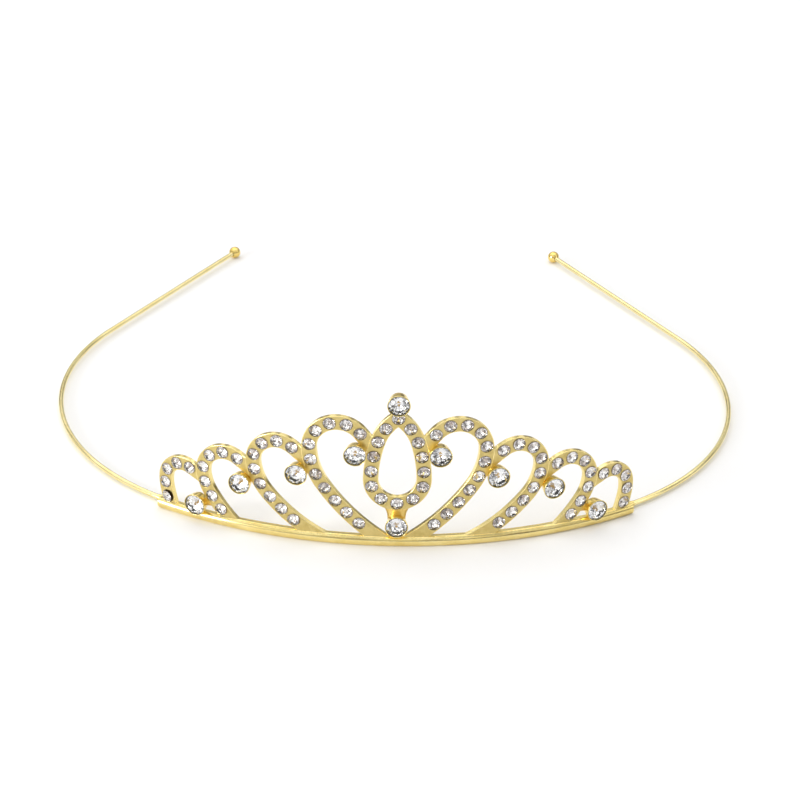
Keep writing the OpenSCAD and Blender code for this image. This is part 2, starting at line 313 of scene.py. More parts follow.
def turned(state, radius, angle, hand):
    """Goes along an arc from (distance, height, direction). A hand of 1 turns left and -1 turns right."""
    s, z, heading = state
    a, b = math.radians(heading), math.radians(heading + hand * angle)
    s += hand * radius * (math.sin(b) - math.sin(a))
    z -= hand * radius * (math.cos(b) - math.cos(a))
    return s, z, heading + hand * angle


def along(state, arcs, hand, length):
    """The state at a length along a chain of arcs, which runs on past both of its ends."""
    for radius, angle in arcs[:-1]:
        arc = radius * math.radians(angle)
        if length <= arc:
            return turned(state, radius, math.degrees(length / radius), hand)
        state = turned(state, radius, angle, hand)
        length -= arc
    return turned(state, arcs[-1][0], math.degrees(length / arcs[-1][0]), hand)


def chain_length(arcs):
    """The length of a chain of arcs."""
    return sum(radius * math.radians(angle) for radius, angle in arcs)


def traced(state, arcs, hand, aside, length):
    """Points of a line that runs beside a chain of arcs, at a distance to its left."""
    points = []
    count = math.ceil(length / trace_step)
    for i in range(count + 1):
        s, z, heading = along(state, arcs, hand, length * i / count)
        a = math.radians(heading)
        points.append(Vector((s - aside * math.sin(a), z + aside * math.cos(a))))
    return points


print("a quarter turn to the left of radius 1 ends at", [round(v, 3) for v in turned((0, 0, 0), 1, 90, 1)])

# %% The middle loop
middle_gap = 0.05


def flat_place(point):
    """Where a point of the frame lies in the flat pattern."""
    return Vector((math.atan2(point.x, bend_axis_y - point.y) * face_r / mm, point.z / mm))


def mirrored(points):
    """The same points on the other side of the crown's middle."""
    return [Vector((-point.x, point.y)) for point in points]


def to_middle(points):
    """Closes a half outline on the crown's middle, and adds its mirror image."""
    a, b = points[-2], points[-1]
    tip = Vector((0, b.y + (b.y - a.y) * b.x / (a.x - b.x)))
    return points + [tip] + mirrored([point for point in reversed(points) if point.x > middle_gap])


pear_z = min(flat_place(place[0]).y for place in places["pave_pear"])
pear_foot = (0, pear_z, 0)
pear_chain = [(radius * crown_h, angle) for radius, angle in pear_arcs]
pear_side = pear_foot
for radius, angle in pear_chain:
    pear_side = turned(pear_side, radius, angle, 1)
pear_s, _, heading = pear_side
closing_r = pear_s / (math.sin(math.radians(heading)) - math.sin(math.radians(heading + pear_close)))
pear_chain.append((closing_r, pear_close))
pear_l = chain_length(pear_chain)
pear_outer = to_middle(traced(pear_foot, pear_chain, 1, -ribbon_w / 2, pear_l))
inner = traced(pear_foot, pear_chain, 1, ribbon_w / 2, pear_l)
pear_inner = to_middle([inner[0]] + [point for point in inner[1:] if point.x > middle_gap])
print("middle loop from", round(pear_z, 2), "mm up, closed with a radius of", round(closing_r, 2), "mm")

# %% The falling loops
back_step, back_steps, met = 0.1, 80, 0.3
rail_past = 0.2


def run_back(point, way, line):
    """Moves a point back along a direction until it meets a line of points."""
    for i in range(back_steps):
        reached = point - way * i * back_step
        if min((reached - other).length for other in line) < met:
            break
    return reached


ribbons = []
before = traced(pear_foot, pear_chain, 1, 0, pear_l)
for s, z, heading, shares in loop_arcs:
    state = (s * crown_h, z * crown_h, heading)
    arcs = [(radius * crown_h, angle) for radius, angle in shares]
    length = chain_length(arcs) + root_share * crown_h
    far, near = (traced(state, arcs, -1, aside, length) for aside in (ribbon_w / 2, -ribbon_w / 2))
    way = Vector((math.cos(math.radians(heading)), math.sin(math.radians(heading))))
    outline = [run_back(far[0], way, before)] + far + near[::-1] + [run_back(near[0], way, before)]
    ribbons += [outline, mirrored(outline)]
    before = traced(state, arcs, -1, 0, length)
crown_reach = max(point.x for outline in ribbons for point in outline) + rail_past
print("falling loops", len(ribbons), "and the rail reaches", round(crown_reach, 2), "mm each side")

# %% [markdown]
# On the real crown the ribbons flow into one sheet. A boolean of nine overlapping plates could join them, but
# it leaves ragged edges where two outlines nearly touch. Here a constrained triangulation cuts the flat
# outlines at every crossing and says which ribbons each triangle lies in. The edges that only one kept
# triangle has are then the outline of the whole sheet, in order, with the metal on its left.

# %% The outline of all the ribbons together
sheet_foot = 1.2
same_point = 1e-6
shortest_edge = 0.05
fewest_points = 8


def area(outline):
    """The area in an outline, less than 0 when it runs clockwise, as a hole's does."""
    return sum(a.x * b.y - b.x * a.y for a, b in zip(outline, outline[1:] + outline[:1])) / 2


def above(outline, level):
    """The part of an outline that lies above a level."""
    kept = []
    for q, p in zip([outline[-1]] + outline[:-1], outline):
        if (p.y >= level) != (q.y >= level):
            kept.append(q.lerp(p, (level - q.y) / (p.y - q.y)))
        if p.y >= level:
            kept.append(p)
    return kept


def triangulate(outlines, is_metal):
    """Triangles of the flat regions for which is_metal(outlines that the region is in) holds."""
    points, faces = [], []
    for outline in outlines:
        ids = list(range(len(points), len(points) + len(outline)))
        faces.append(ids if area(outline) > 0 else ids[::-1])
        points += outline
    found, _, triangles, sources, _, owners = delaunay_2d_cdt(points, [], faces, 1, same_point)
    return found, [t for t, own in zip(triangles, owners) if is_metal(set(own))], sources


shapes = [above(outline, sheet_foot) for outline in ribbons] + [pear_outer, pear_inner]
outer_id, inner_id = len(ribbons), len(ribbons) + 1


def in_sheet(own):
    """Metal is all that lies in a falling loop's ribbon, or between the middle loop's two outlines."""
    return own - {outer_id, inner_id} or (outer_id in own and inner_id not in own)


found, triangles, _ = triangulate(shapes, in_sheet)
sides = {(t[i], t[i - 2]) for t in triangles for i in range(3)}
onward = {a: b for a, b in sides if (b, a) not in sides}
outlines = []
while onward:
    at, loop = next(iter(onward)), []
    while at in onward:
        loop.append(found[at])
        at = onward.pop(at)
    smooth = [p for q, p in zip([loop[-1]] + loop[:-1], loop) if (p - q).length > shortest_edge]
    if len(smooth) > fewest_points:
        outlines.append(smooth)
print("outlines, as points and mm2", [(len(outline), round(area(outline), 1)) for outline in outlines])

# %% [markdown]
# The real crown is one piece of soldered metal with a satin face and bright edges. It is gathered here in
# one skin: points that each carry the direction they are shaded with, and faces that each have a finish. A
# smooth shade worked out from long triangles would leave streaks. Giving the directions one by one keeps the
# broad faces truly even up to their thin rounded edges.

# %% A skin to gather the metal in
FACE, EDGE, RAIL, CUP, SOLDER, SHADED_SEAT = range(6)


class Skin:
    """Points with shading directions, and faces with finishes."""

    def __init__(self):
        self.points, self.ways, self.faces, self.finishes = [], [], [], []

    def point(self, place, way):
        """Adds a point and gives its number."""
        self.points.append(place)
        self.ways.append(way.normalized())
        return len(self.points) - 1

    def face(self, corners, finish):
        """Adds a face, turned so that it looks the way its points are shaded."""
        a, b, c = (self.points[corners[i]] for i in (0, 1, 2))
        turn = (b - a).cross(c - b)
        if turn.dot(sum((self.ways[i] for i in corners), Vector())) < 0:
            corners = corners[::-1]
        self.faces.append(corners)
        self.finishes.append(finish)

    def strip(self, row, after, finish, closed=True):
        """Adds the faces between two rows of points."""
        last = len(row) if closed else len(row) - 1
        for i in range(last):
            j = (i + 1) % len(row)
            self.face([row[i], row[j], after[j], after[i]], finish)

    def strips(self, rows, finish, closed=True):
        """Adds the faces between each row of points and the next."""
        for row, after in zip(rows, rows[1:]):
            self.strip(row, after, finish, closed)

    def piece(self, name, materials):
        """Puts the skin in the scene as one object."""
        mesh = bpy.data.meshes.new(name)
        mesh.from_pydata(self.points, [], self.faces)
        mesh.polygons.foreach_set("material_index", self.finishes)
        mesh.polygons.foreach_set("use_smooth", [True] * len(self.faces))
        mesh.normals_split_custom_set_from_vertices(self.ways)
        for material in materials:
            mesh.materials.append(material)
        return to_scene(name, mesh)


skin = Skin()
print("finishes", SHADED_SEAT + 1)


# %% From the flat pattern to the bend
upward = Vector((0, 0, 1))
no_lean = Vector((0, 0))


def on_bend(flat, depth):
    """A point of the flat pattern carried to the bend. A depth below the plate's face is less than 0."""
    a = flat.x * mm / face_r
    r = face_r + depth * mm
    return Vector((r * math.sin(a), bend_axis_y - r * math.cos(a), flat.y * mm))


def way_on_bend(flat, across, out):
    """A direction in the flat pattern, and out of it, carried to the bend."""
    a = flat.x * mm / face_r
    side = Vector((math.cos(a), math.sin(a), 0))
    front = Vector((math.sin(a), -math.cos(a), 0))
    return side * across.x + upward * across.y + front * out


print("the crown's middle is at", [round(v, 4) for v in on_bend(Vector((0, 0)), 0)])

# %% [markdown]
# The plate is cast and tumbled, so every edge has a small rounding that catches the light. A bevel modifier
# would stumble over the short edges where ribbons meet. So each outline is repeated as rows of points that
# step in and down by a quarter round, once at the front and once at the back.

# %% Rounded edges of the plate
plate_t = 1.2
round_w = 0.17
sharpest, hairpin = 0.5, 0.01
# Each step of the quarter round: its inset and its depth as shares of the width, and its turn from the face.
rounding = [(1.0, 0.0, 0), (0.293, 0.293, 45), (0.0, 1.0, 90)]


def inward(outline):
    """How a point of an outline moves for a unit of inset, and the direction out of the metal there."""
    moves, outs = [], []
    for before, point, after in zip([outline[-1]] + outline[:-1], outline, outline[1:] + outline[:1]):
        a, b = (point - before).normalized(), (after - point).normalized()
        left_a, left_b = Vector((-a.y, a.x)), Vector((-b.y, b.x))
        middle = (left_a + left_b).normalized() if (left_a + left_b).length > hairpin else left_a
        moves.append(middle / max(middle.dot(left_a), sharpest))
        outs.append(-middle)
    return moves, outs


front_rows, back_rows, insets = [], [], []
for outline in outlines:
    moves, outs = inward(outline)
    rows = []
    for back in (False, True):
        for inset, sink, tilt in (reversed(rounding) if back else rounding):
            depth = -plate_t + sink * round_w if back else -sink * round_w
            lean = math.sin(math.radians(tilt))
            rise = math.cos(math.radians(tilt)) * (-1 if back else 1)
            row = []
            for point, move, out in zip(outline, moves, outs):
                flat = point + move * inset * round_w
                row.append(skin.point(on_bend(flat, depth), way_on_bend(flat, out * lean, rise)))
            rows.append(row)
    skin.strips(rows, EDGE)
    front_rows.append(rows[0])
    back_rows.append(rows[-1])
    insets.append([point + move * round_w for point, move in zip(outline, moves)])
print("points along the edges", len(skin.points))

# %% [markdown]
# Each small stone sits in a drilled seat with a thin bright rim. The glue, the foil's edge and the shade in
# the hole make the rest of it dark, and that ring of shade is what sets a stone off from the gold. A dark
# ring of colour alone would stay put when the view turns. So the seat is real depth, with a polished lip, a
# short wall in the brighter cup gold as painted light, and below it a darker gold that is partly glue and
# partly painted shade.

# %% Seats for the small stones
seat_r = 1.46
seat_round = 0.04
lit_depth = 0.35
seat_depth = 1.02
seat_sides = 40
seat_angles = [math.tau * i / seat_sides for i in range(seat_sides)]
seat_ring = [Vector((math.cos(a), math.sin(a))) for a in seat_angles]


def seat_row(centre, depth):
    """A ring of points on a seat's wall, which face its middle."""
    return [skin.point(on_bend(centre + d * seat_r, -depth), way_on_bend(centre, -d, 0)) for d in seat_ring]


seat_rows, seat_circles = [], []
for middle, _, _ in small:
    centre = flat_place(middle)
    circle = [centre + d * (seat_r + seat_round) for d in seat_ring]
    mouth = [skin.point(on_bend(flat, 0), way_on_bend(flat, no_lean, 1)) for flat in circle]
    lip, lit, wall = (seat_row(centre, depth) for depth in (seat_round, lit_depth, seat_depth))
    ground = [on_bend(centre + d * seat_r, -seat_depth) for d in seat_ring]
    skin.strip(mouth, lip, EDGE)
    # Painted light and shade: the upper wall takes the brighter cup gold, and the wall below and the floor a
    # darker gold that is partly glue and partly painted shade.
    skin.strip(lip, lit, CUP)
    skin.strip(lit, wall, SHADED_SEAT)
    skin.face([skin.point(place, way_on_bend(centre, no_lean, 1)) for place in ground], SHADED_SEAT)
    seat_rows.append(mouth)
    seat_circles.append(circle)
print("seats", len(seat_rows))

# %% [markdown]
# The ribbons are soldered edge to edge, and each keeps its own rounded edge, which shows as a fine line where
# the next one starts. A groove cut into the sheet would need another boolean. A low ridge laid along the
# first ribbon's edge, wherever that edge lies inside the next ribbon, gives the same line of light.

# %% Seams where ribbons meet
seam_w, seam_h = 0.15, 0.035
seam_lean = 0.9
shortest_seam = 4
# The ridge's section: shares of its half width and of its height.
ridge = [(-1, -0.01), (-0.5, 0.75), (0, 1), (0.5, 0.75), (1, -0.01)]


def inside(point, outline):
    """Whether a point is inside an outline, by how often a level line to its right crosses it."""
    crossings = 0
    for a, b in zip(outline, outline[1:] + outline[:1]):
        if (a.y > point.y) != (b.y > point.y):
            crossings += point.x < a.x + (b.x - a.x) * (point.y - a.y) / (b.y - a.y)
    return crossings % 2 == 1


def seam(points):
    """A low ridge along a line of the flat pattern."""
    rows = []
    for i, point in enumerate(points):
        way = (points[min(i + 1, len(points) - 1)] - points[max(i - 1, 0)]).normalized()
        side = Vector((-way.y, way.x))
        row = []
        for across, height in ridge:
            place = on_bend(point + side * across * seam_w / 2, height * seam_h)
            row.append(skin.point(place, way_on_bend(point, side * across * seam_lean, 1)))
        rows.append(row)
    skin.strips(rows, EDGE, closed=False)


seams = 0
for number, outline in enumerate([pear_outer] + ribbons[0:6:2]):
    for line, after in ((outline, ribbons[2 * number]), (mirrored(outline), ribbons[2 * number + 1])):
        run = []
        for point in line + line[:1]:
            if inside(point, after):
                run.append(point)
            else:
                if len(run) > shortest_seam:
                    seam(run)
                    seams += 1
                run = []
print("seams", seams)

# %% [markdown]
# What is left of the plate is flat: the front between the rounded edges and the seats, and the whole back.
# One big face can't have holes in it, and a grid of squares would not meet the round seats. So the
# triangulation that joined the ribbons fills both sides too. It uses the points that the edges and seats
# already have, and the skin closes without a gap.

# %% Flat faces of the plate
def fill(flats, rows, depth, rise, finish):
    """Closes the flat between rows of points that the skin already has."""
    ids = [i for row in rows for i in row]
    holes = {i for i, flat in enumerate(flats) if i >= len(outlines) or area(flat) < 0}
    found, triangles, sources = triangulate(flats, lambda own: own and not own & holes)
    known = []
    for flat, source in zip(found, sources):
        if source:
            known.append(ids[source[0]])
        else:
            known.append(skin.point(on_bend(flat, depth), way_on_bend(flat, no_lean, rise)))
    for triangle in triangles:
        skin.face([known[i] for i in triangle], finish)
    return len(triangles)


filled = fill(insets + seat_circles, front_rows + seat_rows, 0, 1, FACE)
filled += fill(insets, back_rows, -plate_t, -1, FACE)
print("flat triangles", filled, "points in the skin", len(skin.points))

# %% [markdown]
# The rail is one bar with a rounded front that all the ribbons stand on. A curve with a bevel could make it,
# but its ends would stay sharp. So its section is drawn as a profile and swept round the bend, and its ends
# are cut square, with only the saw's edge taken off.

# %% Rail
rail_h = 2.4
rail_front, rail_back = 0.6, -1.4
rail_round = rail_h / 2 * 1.15
rail_flats = (-0.9, -0.3)
back_corner = 0.22
end_bevel = 0.1
end_lean = 0.7
corner_steps, front_steps, rail_steps = 4, 18, 150
rail_turn = crown_reach / (face_r / mm)


def profile_ways(profile, closed):
    """The direction square to a profile at each of its points, on the right of its way round."""
    ways = []
    for i in range(len(profile)):
        before = profile[i - 1] if closed or i else profile[0]
        after = profile[(i + 1) % len(profile)] if closed or i < len(profile) - 1 else profile[-1]
        a = (profile[i] - before).normalized() + (after - profile[i]).normalized()
        ways.append(Vector((a.y, -a.x)).normalized())
    return ways


def arc_points(centre, radius, start, end, count):
    """Points of an arc between two angles."""
    angles = (math.radians(start + (end - start) * i / count) for i in range(count + 1))
    return [centre + Vector((math.cos(a), math.sin(a))) * radius for a in angles]


bulge = math.degrees(math.asin(rail_h / 2 / rail_round))
lower_corner = Vector((rail_back + back_corner, back_corner))
front_middle = Vector((rail_front - rail_round, rail_h / 2))
upper_corner = Vector((rail_back + back_corner, rail_h - back_corner))
profile = arc_points(lower_corner, back_corner, 180, 270, corner_steps)
profile += [Vector((depth, 0)) for depth in rail_flats]
profile += arc_points(front_middle, rail_round, -bulge, bulge, front_steps)
profile += [Vector((depth, rail_h)) for depth in reversed(rail_flats)]
profile += arc_points(upper_corner, back_corner, 90, 180, corner_steps)
ways = profile_ways(profile, True)
half = rail_turn * face_r / mm
stations = [-half, -half + end_bevel]
stations += [-half + 2 * half * i / rail_steps for i in range(1, rail_steps)]
stations += [half - end_bevel, half]
rail_rows = []
for number, s in enumerate(stations):
    at_end = number in (0, len(stations) - 1)
    tilt = math.copysign(end_lean, s) if at_end else 0
    row = []
    for point, way in zip(profile, ways):
        shown = point - way * end_bevel if at_end else point
        flat = Vector((s, shown.y))
        row.append(skin.point(on_bend(flat, shown.x), way_on_bend(flat, Vector((tilt, way.y)), way.x)))
    rail_rows.append(row)
skin.strips(rail_rows, RAIL)
for row, sign in ((rail_rows[0], -1), (rail_rows[-1], 1)):
    way = way_on_bend(Vector((sign * half, 0)), Vector((sign, 0)), 0)
    skin.face([skin.point(skin.points[i].copy(), way) for i in row], EDGE)
print("rail from", round(-half, 1), "to", round(half, 1), "mm, profile points", len(profile))

# %% [markdown]
# The cups that hold the large stones are turned shapes: a tapered wall with a slight belly, a lip rolled thin
# over the stone, and a bore. A cone with a bevel would lack the lip. Carrying one profile round the way that
# the stone faces gives the whole cup at once, with a finish for each part of it.

# %% Cups
cup_r = 2.56
cup_back = 1.3
cup_mouth = 1.5
cup_taper = 0.5
cup_belly = 0.03
bore_floor = -0.04
cup_sides = 56


def turned_shape(centre, profile, finishes):
    """A profile of (radius, height above the plate's face) turned round the facing direction at a place."""
    origin = on_bend(centre, 0)
    front = way_on_bend(centre, no_lean, 1)
    side = way_on_bend(centre, Vector((1, 0)), 0)
    rows = []
    for point, way in zip(profile, profile_ways(profile, False)):
        row = []
        for i in range(cup_sides):
            a = math.tau * i / cup_sides
            spoke = side * math.cos(a) + upward * math.sin(a)
            place = origin + spoke * point.x * mm + front * point.y * mm
            row.append(skin.point(place, spoke * way.x + front * way.y))
        rows.append(row)
    for row, after, finish in zip(rows, rows[1:], finishes):
        skin.strip(row, after, finish)
    skin.face(rows[0], finishes[0])
    skin.face(rows[-1], finishes[-1])


def wall_r(height):
    """The cup's outer radius at a height, with a slight belly."""
    share = (height + cup_back) / (cup_back + cup_mouth)
    return cup_r - cup_taper * (1 - share) + cup_belly * math.sin(math.pi * share)


cup_heel = [(1.2, -cup_back), (1.84, -cup_back), (1.96, 0.03 - cup_back), (2.03, 0.1 - cup_back)]
cup_wall = [(wall_r(height), height) for height in (-1.0, -0.6, -0.2, 0.2, 0.6, 1.0, 1.3)]
cup_lip = [(2.555, 1.4), (2.545, 1.46), (2.505, 1.5), (2.45, 1.495), (2.41, 1.46), (2.385, 1.4)]
cup_bore = [(2.34, 1.2), (2.2, 0.2), (2.1, bore_floor), (1.2, bore_floor)]
cup_profile = [Vector(place) for place in cup_heel + cup_wall + cup_lip + cup_bore]
cup_finish = [CUP] * len(cup_heel + cup_wall) + [EDGE] * (len(cup_lip) - 1)
# The bore takes the darker seat gold, partly glue and partly painted shade.
cup_finish += [CUP] + [SHADED_SEAT] * (len(cup_bore) - 1)
cup_places = [flat_place(middle) for middle, _, _ in large]
for centre in cup_places:
    turned_shape(centre, cup_profile, cup_finish)
print("cups", len(cup_places), "of", len(cup_profile), "rows each")

# %% [markdown]
# Each cup hangs on a short bridge of solder behind it, and the lowest one stands on a broader foot. Solder
# wets the metal and pulls into the corner, so a bridge is round in section and spreads at both ends. A plain
# bar would look cut from sheet.

# %% Solder bridges
bridge_front, bridge_back = -0.41, -1.25
bridge_steps, bridge_sides = 12, 20
bridge_flare = 0.35
# Powers under 1 fill out the corners of a round section.
width_power, depth_power = 0.5, 0.6
bite = 0.2
foot_w, tab_w = 4, 2.1


def bridge(start, end, width):
    """A rounded bar in the plate's back half between two places of the flat pattern."""
    way = (end - start).normalized()
    side = Vector((-way.y, way.x))
    middle, deep = (bridge_front + bridge_back) / 2, (bridge_front - bridge_back) / 2
    rows = []
    for i in range(bridge_steps + 1):
        share = i / bridge_steps
        spread = 1 + bridge_flare * (2 * share - 1) ** 4
        row = []
        for j in range(bridge_sides):
            a = math.tau * j / bridge_sides
            c, s = math.cos(a), math.sin(a)
            x = math.copysign(abs(c) ** width_power, c) * width / 2 * spread
            y = math.copysign(abs(s) ** depth_power, s) * deep
            flat = start.lerp(end, share) + side * x
            row.append(skin.point(on_bend(flat, middle + y), way_on_bend(flat, side * c, s)))
        rows.append(row)
    skin.strips(rows, SOLDER)


pave_flats = [flat_place(middle) for middle, _, _ in small]
for centre in cup_places:
    on_middle = abs(centre.x) < middle_gap
    if on_middle and centre.y < crown_h / 2:
        bridge(Vector((0, rail_h / 2)), Vector((0, pear_z - ribbon_w / 2 + bite)), foot_w)
    else:
        nearest = sorted(pave_flats, key=lambda flat: (flat - centre).length)[:2]
        target = nearest[0] if on_middle else (nearest[0] + nearest[1]) / 2
        bridge(centre, target + (centre - target).normalized() * (ribbon_w / 2 - bite), tab_w)
print("bridges", len(cup_places))

# %% The crown as one piece
crown = skin.piece("crown", [face_gold, edge_gold, rail_gold, cup_gold, solder_gold, seat_glue_and_shade_gold])
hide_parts("crown_frame")
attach(crown, "root")
print("crown triangles", sum(len(face) - 2 for face in skin.faces))

# %% [markdown]
# The headband is one round wire. It lies behind the rail, bends round the sides of the head and runs straight
# to the balls, rising or falling a little so that balls and rail all touch the table. Its middle line is a
# chain of arcs like a ribbon's, so the same walk along arcs finds any place on it.

# %% Line of the headband
wire_r = 0.6
tip_r = 0.57
side_r = 62
tip_turn = 122
tip_run = 54
collar_r = 0.8
collar_l = 5
band_gap = 0.05
ball_d = 2.9
band_clear_r = face_r / mm + rail_back - band_gap
front_r = math.sqrt(band_clear_r ** 2 - (collar_l / 2) ** 2) - collar_r
front_turn = math.degrees(rail_turn)
band_start = (0, face_r / mm - front_r, 0)
band_bends = [(front_r, front_turn), (side_r, tip_turn - front_turn)]
bends_l = chain_length(band_bends)
band_end = along(band_start, band_bends, 1, bends_l)
ball_y = band_end[1] + tip_run * math.sin(math.radians(tip_turn))
front_z = collar_r + band_gap
band_slope = math.asin((ball_d / 2 - front_z) / (ball_y - band_start[1]))


def band_place(length):
    """The wire's middle and direction at a length from the crown's middle, along its right half."""
    if length <= bends_l:
        x, y, heading = along(band_start, band_bends, 1, length)
    else:
        past = length - bends_l
        heading = tip_turn
        x = band_end[0] + past * math.cos(math.radians(heading))
        y = band_end[1] + past * math.sin(math.radians(heading))
    a = math.radians(heading)
    back = y - band_start[1]
    place = Vector((x, back * math.cos(band_slope), back * math.sin(band_slope)))
    place += Vector((0, bend_axis_y / mm - front_r, front_z))
    way = Vector((math.cos(a), math.sin(a) * math.cos(band_slope), math.sin(a) * math.sin(band_slope)))
    return place * mm, way


print("band", round(2 * (bends_l + tip_run)), "mm long, at a slope of", round(math.degrees(band_slope), 2))

# %% [markdown]
# A drawn wire is not the same all along. It is a touch thinner past the bends, and it swells where solder
# holds it to each end of the rail. A bevelled curve has one radius unless every point gets its own, so a tube
# of rings is carried along the line, and each ring asks for the radius at its place.

# %% Headband wire
narrowing_l = 1.0
solder_fade = 1.6
bare_end = 0.5
into_ball = 0.12
wire_sides, wire_steps, collar_steps = 20, 190, 20
collar_at = chain_length(band_bends[:1])
WIRE, COLLAR = 0, 1


def wire_radius(length):
    """The wire's radius: thinner past the bends, and thick with solder at the end of the rail."""
    past = min(max((length - bends_l + narrowing_l / 2) / narrowing_l, 0), 1)
    bare = min(max((abs(length - collar_at) - collar_l / 2 + solder_fade) / solder_fade, 0), 1)
    solder = 1 - bare
    radius = wire_r + (tip_r - wire_r) * past
    return radius + (collar_r - wire_r) * solder * solder * (3 - 2 * solder)


wire_l = bends_l + tip_run + into_ball
lengths = [wire_l * i / wire_steps for i in range(wire_steps + 1)]
lengths += [collar_at + collar_l * (i / collar_steps - 0.5) for i in range(collar_steps + 1)]
lengths = sorted(set(round(length, 3) for length in lengths))
band = Skin()
tilt_way = Vector((0, -math.sin(band_slope), math.cos(band_slope)))
rows = []
for length in [-length for length in reversed(lengths[1:])] + lengths:
    hand = -1 if length < 0 else 1
    place, way = band_place(abs(length))
    place.x, way.x = place.x * hand, way.x * hand
    side = way.cross(tilt_way).normalized() * hand
    row = []
    for j in range(wire_sides):
        a = math.tau * j / wire_sides
        out = side * math.cos(a) + tilt_way * math.sin(a)
        row.append(band.point(place + out * wire_radius(abs(length)) * mm, out))
    rows.append((abs(length), row))
for (at, row), (after_at, after) in zip(rows, rows[1:]):
    soldered = abs((at + after_at) / 2 - collar_at) < collar_l / 2 - bare_end
    band.strip(row, after, COLLAR if soldered else WIRE)
for _, row in (rows[0], rows[-1]):
    band.face(row, WIRE)
wire = band.piece("wire_band", [wire_gold, rail_gold])
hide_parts("headband_wire")
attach(wire, "root")
solid_low, solid_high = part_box("headband_wire")
for i, axis in enumerate("xyz"):
    spots = [point[i] for point in band.points]
    past_solid = [round(gap / mm, 3) for gap in (solid_low[i] - min(spots), max(spots) - solid_high[i])]
    print("wire past its solid along", axis, past_solid, "mm")

# %% [markdown]
# The two balls are turned and polished, and their solids are already round and smooth. A new sphere would
# show nothing more, so they stay as they are and only take a finish, a deeper and more mirror-like one than
# the wire's.

# %% Balls
for node in ("tip_ball_left", "tip_ball_right"):
    for slot in nodes[node].material_slots:
        slot.material = ball_gold
    print(node, "in", ball_gold.name)

# %% [markdown]
# A pressed glass stone is clear in front and silvered behind. Light goes in through the flat facets, turns
# round on the silver and comes out somewhere else, which is what makes it sparkle. White paint with a noise
# would stay dead when the light moves. So each stone is one closed body whose upper facets are clear glass,
# and whose lower facets are the silver foil seen through it. The foil is a little blotchy, most of all behind
# the small stones, so the blotches are a node group with its own two tones in each foil.

# %% Blotchy silver group
dull_until, bright_from = 0.42, 0.50
blotch_group, blotch_in, blotch_out = new_group(
    "blotchy_silver",
    [("Dull", "NodeSocketColor", (0.8, 0.8, 0.8, 1)), ("Bright", "NodeSocketColor", (1, 1, 1, 1))],
    [("Color", "NodeSocketColor")],
)
blotch_place = blotch_group.nodes.new("ShaderNodeTexCoord")
blotches = add_node(blotch_group, "ShaderNodeTexNoise", Scale=1500.0, Detail=1.0)
patches = add_node(blotch_group, "ShaderNodeMapRange", From_Min=dull_until, From_Max=bright_from)
blotch_group.links.new(blotch_place.outputs["Object"], blotches.inputs["Vector"])
blotch_group.links.new(blotches.outputs["Fac"], patches.inputs["Value"])
share = patches.outputs["Result"]
silver = add_mix(blotch_group, share, blotch_in.outputs["Dull"], blotch_in.outputs["Bright"])
blotch_group.links.new(silver, blotch_out.inputs["Color"])
print("group", blotch_group.name, "with", len(blotch_group.nodes), "nodes")

# %% Stone materials
lacquer = (0.30, 0.19, 0.08, 1)


def silver_foil(name, dull, bright):
    """The silvered back: mirror seen through the stone, brown lacquer seen from behind."""
    material, tree, shader = new_material(name, Metallic=1.0, Roughness=0.05)
    foil = place_group(tree, blotch_group, Dull=(*dull, 1), Bright=(*bright, 1))
    side = tree.nodes.new("ShaderNodeNewGeometry")
    seen = add_mix(tree, side.outputs["Backfacing"], lacquer, foil.outputs["Color"])
    tree.links.new(seen, shader.inputs["Base Color"])
    return material


glass, _, _ = new_material(
    "clear_glass", Base_Color=(1, 1, 1, 1), Roughness=0.0, IOR=1.56, Transmission_Weight=1.0
)
bright_foil = silver_foil("bright_foil", (0.84, 0.84, 0.85), (0.99, 0.99, 0.99))
worn_foil = silver_foil("worn_foil", (0.60, 0.54, 0.50), (0.98, 0.97, 0.96))
print("stone materials", glass.name, bright_foil.name, worn_foil.name)

# %% [markdown]
# The stones are round brilliants: an eight-sided table on top, eight star facets round it, eight kites down
# to the widest line, and a pointed back. A cone or a faceted sphere would throw the light back in rings.
# Drawing the real rows of facets gives the broken, moving light of a cut stone for some seventy faces.

# %% A cut stone
facets = 8
half_step = 180 / facets
table_share = 0.55
star_share = 0.78
girdle_share = 0.012
crown_share = 0.17
lower_share = 0.28
GLASS, FOIL = 0, 1


def sideways(out):
    """The level direction square to the way that a stone faces."""
    return upward.cross(out).normalized()


